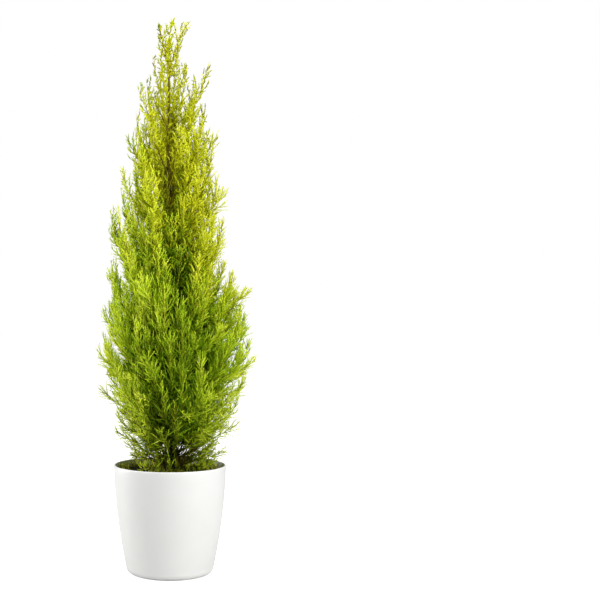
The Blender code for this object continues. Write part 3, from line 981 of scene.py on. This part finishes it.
def shoot_mesh(number, count, needle_length, needle_width):
    """One shoot along +Z: a thin stem with pointed needles set all round it."""
    rng = random.Random(100 + number)
    lean = rng.uniform(0.05, 0.20)
    vertices = []
    faces = []

    def axis_point(share):
        return Vector((lean * SHOOT_NOMINAL * share * share, 0.0, SHOOT_NOMINAL * share))

    def add_needle(root, tip):
        """A closed needle of four faces, flat and broadest at its root."""
        axis = (tip - root).normalized()
        side = axis.cross(UP).normalized() if abs(axis.z) < 0.99 else Vector((1.0, 0.0, 0.0))
        rise = side.cross(axis).normalized()
        first = len(vertices)
        vertices.extend((root - side * 0.5 * needle_width, root + side * 0.5 * needle_width,
                         root + axis * 0.15 * needle_width + rise * 0.45 * needle_width, tip))
        faces.extend(tuple(first + corner for corner in face)
                     for face in ((0, 1, 2), (1, 0, 3), (2, 1, 3), (0, 2, 3)))

    add_needle(axis_point(0.0), axis_point(1.0))
    for index in range(count):
        share = 0.03 + 0.88 * index / (count - 1)
        out = heading(index * GOLDEN_ANGLE + rng.uniform(-0.3, 0.3))
        spread = math.radians(18.0 - 6.0 * share)
        length = needle_length * (1.0 - 0.40 * share) * rng.uniform(0.8, 1.2)
        root = axis_point(share)
        add_needle(root, root + (out * math.sin(spread) + UP * math.cos(spread)) * length)
    return solid_mesh(f"shoot_{number}", vertices, faces, smooth=False)


def shoot_collection(name, *needles):
    kinds = bpy.data.collections.new(name)
    for number in range(SHOOT_KINDS):
        kinds.objects.link(bpy.data.objects.new(f"{name}_{number}", shoot_mesh(number, *needles)))
    return kinds


def spray_tree():
    """Geometry Nodes: a shoot of some kind on each point, by the point's own aim and size."""
    tree = bpy.data.node_groups.new("needle_sprays", "GeometryNodeTree")
    for name, kind in (("Geometry", "Geometry"), ("Shoot kinds", "Collection"),
                       ("Nominal length", "Float"), ("Seed", "Int"), ("Finish", "Material")):
        tree.interface.new_socket(name, in_out="INPUT", socket_type=f"NodeSocket{kind}")
    tree.interface.new_socket("Geometry", in_out="OUTPUT", socket_type="NodeSocketGeometry")
    given = add_node(tree, "NodeGroupInput")
    kinds = add_node(tree, "GeometryNodeCollectionInfo", {
        "Separate Children": True, "Reset Children": True},
        {"Collection": (given, "Shoot kinds")})
    aim, turn, size, girth = (
        add_node(tree, "GeometryNodeInputNamedAttribute", {"data_type": kind, "Name": name})
        for name, kind in SHOOT_ATTRIBUTES.items())
    aimed = add_node(tree, "FunctionNodeAlignRotationToVector", {"axis": "Z"}, {"Vector": aim})
    roll = add_node(tree, "FunctionNodeAxisAngleToRotation", {"Axis": (0.0, 0.0, 1.0)},
                    {"Angle": turn})
    turned = add_node(tree, "FunctionNodeRotateRotation", {"rotation_space": "LOCAL"}, {
        "Rotation": aimed, "Rotate By": roll})
    stretch = add_node(tree, "Math", {"operation": "DIVIDE"}, {
        0: size, 1: (given, "Nominal length")})
    scale = add_node(tree, "CombineXYZ", links={"X": girth, "Y": girth, "Z": stretch})
    pick = add_node(tree, "FunctionNodeRandomValue", {
        "data_type": "INT", "Min": 0, "Max": SHOOT_KINDS - 1}, {"Seed": (given, "Seed")})
    placed = add_node(tree, "GeometryNodeInstanceOnPoints", {"Pick Instance": True}, {
        "Points": (given, "Geometry"), "Instance": kinds,
        "Instance Index": pick, "Rotation": turned,
        "Scale": scale})
    real = add_node(tree, "GeometryNodeRealizeInstances", links={"Geometry": placed})
    coated = add_node(tree, "GeometryNodeSetMaterial", links={
        "Geometry": real, "Material": (given, "Finish")})
    add_node(tree, "NodeGroupOutput", links={"Geometry": coated})
    return tree


def needle_piece(name, shoots, tree, kinds, finish, seed):
    """All the given shoots as one joined mesh."""
    points = bpy.data.meshes.new("shoot_points")
    points.from_pydata([tuple(shoot.root) for shoot in shoots], [], [])
    for attribute, kind in SHOOT_ATTRIBUTES.items():
        data = points.attributes.new(attribute, kind, "POINT").data
        for item, shoot in zip(data, shoots):
            setattr(item, "vector" if attribute == "aim" else "value", getattr(shoot, attribute))
    holder = place_object("shoot_points", points)
    scatter = holder.modifiers.new("sprays", "NODES")
    scatter.node_group = tree
    inputs = {"Shoot kinds": kinds, "Nominal length": SHOOT_NOMINAL, "Seed": seed, "Finish": finish}
    for item in tree.interface.items_tree:
        if item.item_type == "SOCKET" and item.in_out == "INPUT" and item.name in inputs:
            scatter[item.identifier] = inputs[item.name]
    mesh = plain_mesh(holder)
    holder.modifiers.remove(scatter)
    bpy.data.objects.remove(holder)
    return add_piece(name, mesh, finish)


def plan_moss(rng):
    """Tufts of moss on the soil, thinned out round a bare patch, and long at the back edge."""
    tufts = []
    edge = side_radius(SOIL_TOP) - POT_WALL - 0.003
    while len(tufts) < MOSS_TUFTS:
        radius = edge * math.sqrt(rng.random())
        flat = heading(rng.uniform(0.0, math.tau), radius)
        patchy = noise.noise(flat / 0.018)
        verge = radius > 0.82 * edge and flat.y > 0.0
        if not verge and (bareness(flat) < 1.0 + 0.4 * patchy or patchy < -0.18):
            continue
        root = flat + UP * soil_height(flat)
        aim = Vector((rng.gauss(0.0, 0.6), rng.gauss(0.0, 0.6), 1.0)).normalized()
        length = MOSS_LONG * rng.uniform(0.5, 1.2) * (1.6 if verge else 1.0)
        turn = rng.uniform(0.0, math.tau)
        tufts.append(Shoot(root, aim, length, turn, rng.randrange(len(MOSSES)), 0, 0.8))
    return tufts


def make_moss(rng, tree, kinds):
    tufts = plan_moss(rng)
    for number, tone in enumerate(MOSSES):
        chosen = [tuft for tuft in tufts if tuft.tone == number]
        finish = needle_skin(f"moss_{number}", tone)
        piece = needle_piece(f"moss_{number}", chosen, tree, kinds, finish, 60 + number)
        settle(piece, ["soil"])


def make_needles(shoots, inner, masses):
    """Moss, young needles by hue and tone, and the old needles inside the crown."""
    tree = spray_tree()
    young = shoot_collection("young_shoot", *YOUNG_NEEDLES)
    old = shoot_collection("old_shoot", *OLD_NEEDLES)
    make_moss(random.Random(31), tree, young)
    families = [(f"young_{hue}", tones, shoots, hue, young) for hue, tones in enumerate(HUES)]
    families.append(("inner", HUES[0][:INNER_TONES], inner, 0, old))
    families.append(("inner_high", HUES[2][1:INNER_TONES + 1], inner, 1, old))
    for family, tones, growth, hue, kinds in families:
        for number, tone in enumerate(tones):
            finish = needle_skin(f"{family}_{number}", tone)
            chosen = [shoot for shoot in growth if shoot.hue == hue and shoot.tone == number]
            for part, first in enumerate(range(0, len(chosen), PIECE_SHOOTS)):
                piece = needle_piece(f"needles_{family}_{number}_{part}",
                                     chosen[first:first + PIECE_SHOOTS], tree, kinds, finish,
                                     20 + number)
                settle(piece, masses)


# --- Pot, soil and wood ---


def turned_mesh(name, profile, segments):
    """Turn a profile of (radius, height) pairs, which starts and ends on the axis."""
    build = bmesh.new()
    line = [build.verts.new((radius, 0.0, height)) for radius, height in profile]
    edges = [build.edges.new(pair) for pair in zip(line, line[1:])]
    bmesh.ops.spin(build, geom=line + edges, cent=(0.0, 0.0, 0.0), axis=(0.0, 0.0, 1.0),
                   angle=math.tau, steps=segments, use_merge=True)
    bmesh.ops.remove_doubles(build, verts=build.verts, dist=0.00002)
    bmesh.ops.recalc_face_normals(build, faces=build.faces)
    mesh = bpy.data.meshes.new(name)
    build.to_mesh(mesh)
    build.free()
    mesh.shade_smooth()
    mesh.set_sharp_from_angle(angle=math.radians(50.0))
    return mesh


def make_pot():
    """The pot's wall from the underside up, round the lip and down inside to the base."""
    profile = [(0.0, 0.0)]
    corner_out = side_radius(CORNER_HEIGHT) - FOOT_RADIUS
    for step in range(13):
        angle = 0.5 * math.pi * step / 12
        radius = FOOT_RADIUS + corner_out * math.sin(angle)
        profile.append((radius, CORNER_HEIGHT * (1.0 - math.cos(angle))))
    lip = 0.5 * POT_WALL
    lip_height = POT_HEIGHT - lip
    for step in range(1, 25):
        height = CORNER_HEIGHT + (lip_height - CORNER_HEIGHT) * step / 24
        profile.append((side_radius(height), height))
    middle = side_radius(lip_height) - lip
    for step in range(1, 9):
        turn = math.pi * step / 8
        profile.append((middle + lip * math.cos(turn), lip_height + lip * math.sin(turn)))
    for step in range(1, 9):
        height = lip_height + (0.5 * SOIL_TOP - lip_height) * step / 8
        profile.append((side_radius(height) - POT_WALL, height))
    profile += [(FOOT_RADIUS, POT_WALL), (0.0, POT_WALL)]
    shell = turned_mesh("pot_shell", profile, segments=144)
    settle(add_piece("pot_shell", shell, white_polypropylene()), ["pot"])


def make_soil():
    """The soil's rough surface, with a short side wall and a flat underside in the pot."""
    rings = 46
    spokes = 150
    outer = side_radius(SOIL_TOP) - POT_WALL - 0.0004
    underside = SOIL_TOP - 0.012
    angles = [math.tau * spoke / spokes for spoke in range(spokes)]
    points = [Vector((0.0, 0.0, SOIL_TOP + SOIL_MOUND))]
    for ring in range(1, rings + 1):
        radius = outer * ring / rings
        for angle in angles:
            flat = heading(angle, radius)
            points.append(flat + UP * soil_height(flat))
    low = len(points)
    points += [heading(angle, outer, underside) for angle in angles]
    points.append(Vector((0.0, 0.0, underside)))
    faces = []
    for spoke in range(spokes):
        after = (spoke + 1) % spokes
        faces.append((0, 1 + spoke, 1 + after))
        for ring in range(rings):
            inner = 1 + ring * spokes
            faces.append((inner + spoke, inner + spokes + spoke,
                          inner + spokes + after, inner + after))
        faces.append((len(points) - 1, low + after, low + spoke))
    bed = add_piece("soil_bed", solid_mesh("soil_bed", points, faces), damp_peat())
    settle(bed, ["soil"])


def make_wood(plumes, boughs):
    """The trunk, and in one piece the boughs, the bare twigs and the stems at the foot."""
    bark = cypress_bark()
    heights = [TRUNK_FOOT - 0.001 + (TRUNK_TOP - TRUNK_FOOT) * step / 260 for step in range(261)]
    trunk_limb = ([trunk_centre(height) for height in heights],
                  [trunk_radius(height) for height in heights])
    trunk = bark_tube([trunk_limb], sides=20, relief=0.10, grain=0.0022)
    settle(add_piece("trunk_bark", trunk, bark), ["trunk"])
    limbs = []
    for plume in plumes:
        if plume.bough:
            curve = plume.foot, plume.bend, plume.tip
            thick = BOUGH_SLENDER * path_length(curve_path(*curve, 14))
            limbs.append((curve_path(*curve, 16, end=BOUGH_SHARE), tapered(thick, 0.42, 16)))
    limbs += [(path, tapered(BARE_TWIG_THICK, 0.5, 12)) for path in BARE_TWIG_PATHS]
    wood = bark_tube(limbs + plan_stems(), sides=10, relief=0.12, grain=0.0018)
    settle(add_piece("bough_bark", wood, bark), boughs)


# --- Studio ---


def make_camera():
    data = bpy.data.cameras.new("camera")
    data.sensor_width = 36.0
    data.lens = LENS
    data.shift_x = LENS_SHIFT
    data.clip_end = 50.0
    camera = place_object("camera", data)
    camera.location = CAMERA_PLACE
    camera.rotation_euler = (math.radians(90.0), 0.0, 0.0)
    bpy.context.scene.camera = camera


def add_softbox(name, azimuth, distance, height, width, tall, watts):
    """A large square light that faces the plant."""
    data = bpy.data.lights.new(name, "AREA")
    data.shape = "RECTANGLE"
    data.size = width
    data.size_y = tall
    data.energy = watts
    light = place_object(name, data)
    angle = math.radians(azimuth)
    light.location = (distance * math.sin(angle), -distance * math.cos(angle), height)
    aim = Vector((0.0, 0.0, AIM_HEIGHT)) - light.location
    light.rotation_euler = aim.to_track_quat("-Z", "Y").to_euler()


def make_world():
    """White behind the plant, and a weaker even light on it."""
    world = bpy.data.worlds.new("studio")
    bpy.context.scene.world = world
    world.use_nodes = True
    tree = world.node_tree
    tree.nodes.clear()
    seen = add_node(tree, "LightPath")
    fill = add_node(tree, "Background", {"Color": WHITE, "Strength": FILL_STRENGTH})
    paper = add_node(tree, "Background", {"Color": WHITE, "Strength": 1.0})
    mixed = add_node(tree, "MixShader", links={0: (seen, "Is Camera Ray"), 1: fill, 2: paper})
    add_node(tree, "OutputWorld", links={"Surface": mixed})


def make_floor():
    """A sheet of matt studio paper."""
    half = FLOOR_HALF
    corners = [(-half, -half, 0.0), (half, -half, 0.0), (half, half, 0.0), (-half, half, 0.0)]
    mesh = solid_mesh("floor", corners, [(0, 1, 2, 3)], smooth=False)
    material, tree = new_material("studio_paper")
    seen = add_node(tree, "LightPath")
    glow = add_node(tree, "Math", {"operation": "MULTIPLY", 1: FLOOR_GLOW},
                    {0: (seen, "Is Camera Ray")})
    shader = add_node(tree, "BsdfPrincipled", {
        "Base Color": FLOOR_GREY, "Roughness": 0.9, "Emission Color": WHITE},
        {"Emission Strength": glow})
    add_piece("floor", mesh, finish_material(material, shader))


def make_studio():
    make_camera()
    make_world()
    for name, settings in SOFTBOXES.items():
        add_softbox(name, *settings)
    make_floor()
    bpy.context.scene.view_settings.view_transform = "Standard"


def main():
    make_studio()
    rng = random.Random(SEED)
    plumes = plan_plumes(TIERS[:-1], rng)
    plumes += plan_plumes(TIERS[-1:], rng, bare=0.3, **UPWARD)
    plumes.append(Plume(trunk_centre(TRUNK_TOP), LEADER_BOW, LEADER_TIP, bough=False, level=1.0,
                        bare=0.10, sparse=1.0, fine=1.0, tint=0.0))
    twigs = []
    shoots = []
    inner = []
    for plume in plumes + plan_fill(rng):
        grow_plume(plume, rng, twigs, shoots, inner)
    nodes = sorted(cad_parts)
    masses = [name for name in nodes if name.startswith("foliage")]
    boughs = [name for name in nodes if name.startswith("bough")]
    make_pot()
    make_soil()
    make_wood(plumes, boughs)
    settle(add_piece("twigs", twig_mesh(twigs), green_twig_bark()), masses)
    make_needles(shoots, inner, masses)


main()
